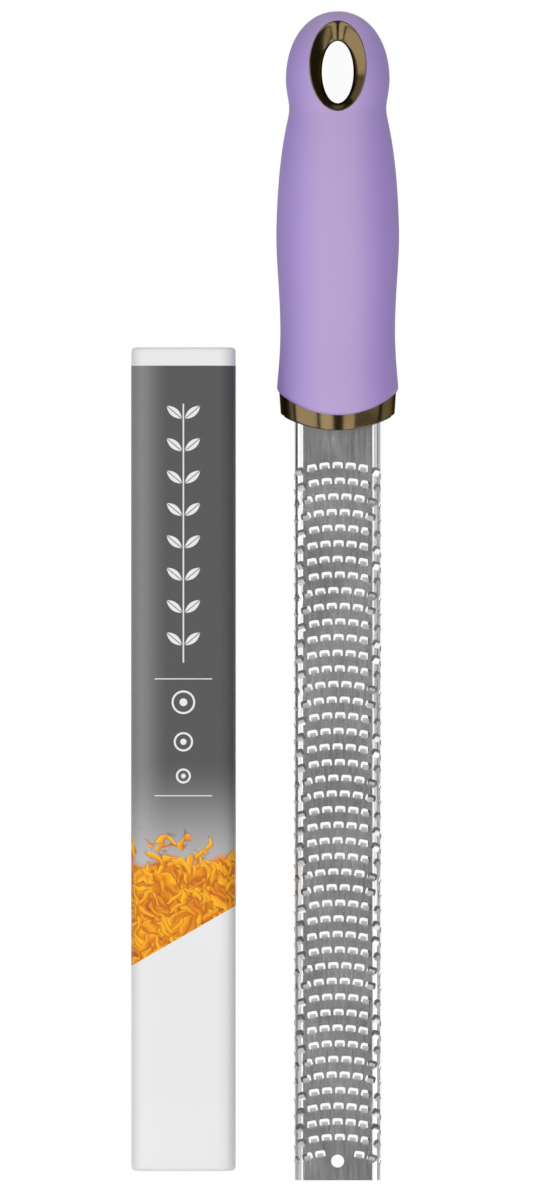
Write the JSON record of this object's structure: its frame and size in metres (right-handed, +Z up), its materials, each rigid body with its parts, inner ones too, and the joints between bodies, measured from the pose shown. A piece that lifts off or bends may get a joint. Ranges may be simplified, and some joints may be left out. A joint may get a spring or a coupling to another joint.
{
  "type": "rasp zester with blade cover",
  "caption": "Long-handled rasp zester with an etched channel blade, an oval handle with a hanging hole, and a slide-on blade cover beside it.",
  "frame": {"origin": "middle of the bounding box at the surface that the zester and its cover lie on", "axes": "+Y along the blade towards the handle, +Z up out of the cutting face, +X from the cover towards the zester"},
  "size_m": [0.0744, 0.3252, 0.0287],
  "materials": {
    "steel": "satin",
    "soft_grip": "matte",
    "core_plastic": "matte",
    "bronze_plated": "gloss",
    "screw_steel": "satin",
    "cover_plastic": "satin",
    "label_card": "satin"
  },
  "bodies": {
    "zester": {"blade": "steel", "core_front": "core_plastic", "core_back": "core_plastic", "core_screws": "screw_steel", "grip": "soft_grip", "ferrule": "bronze_plated", "eyelet_front": "bronze_plated", "eyelet_back": "bronze_plated"},
    "cover": {"cover_shell": "cover_plastic", "cover_label": "label_card"}
  },
  "joints": [
    {"name": "cover_slide", "type": "slide", "parent": "zester", "child": "cover", "axis": [0, -1, 0], "range_m": [0, 0.24]}
  ]
}
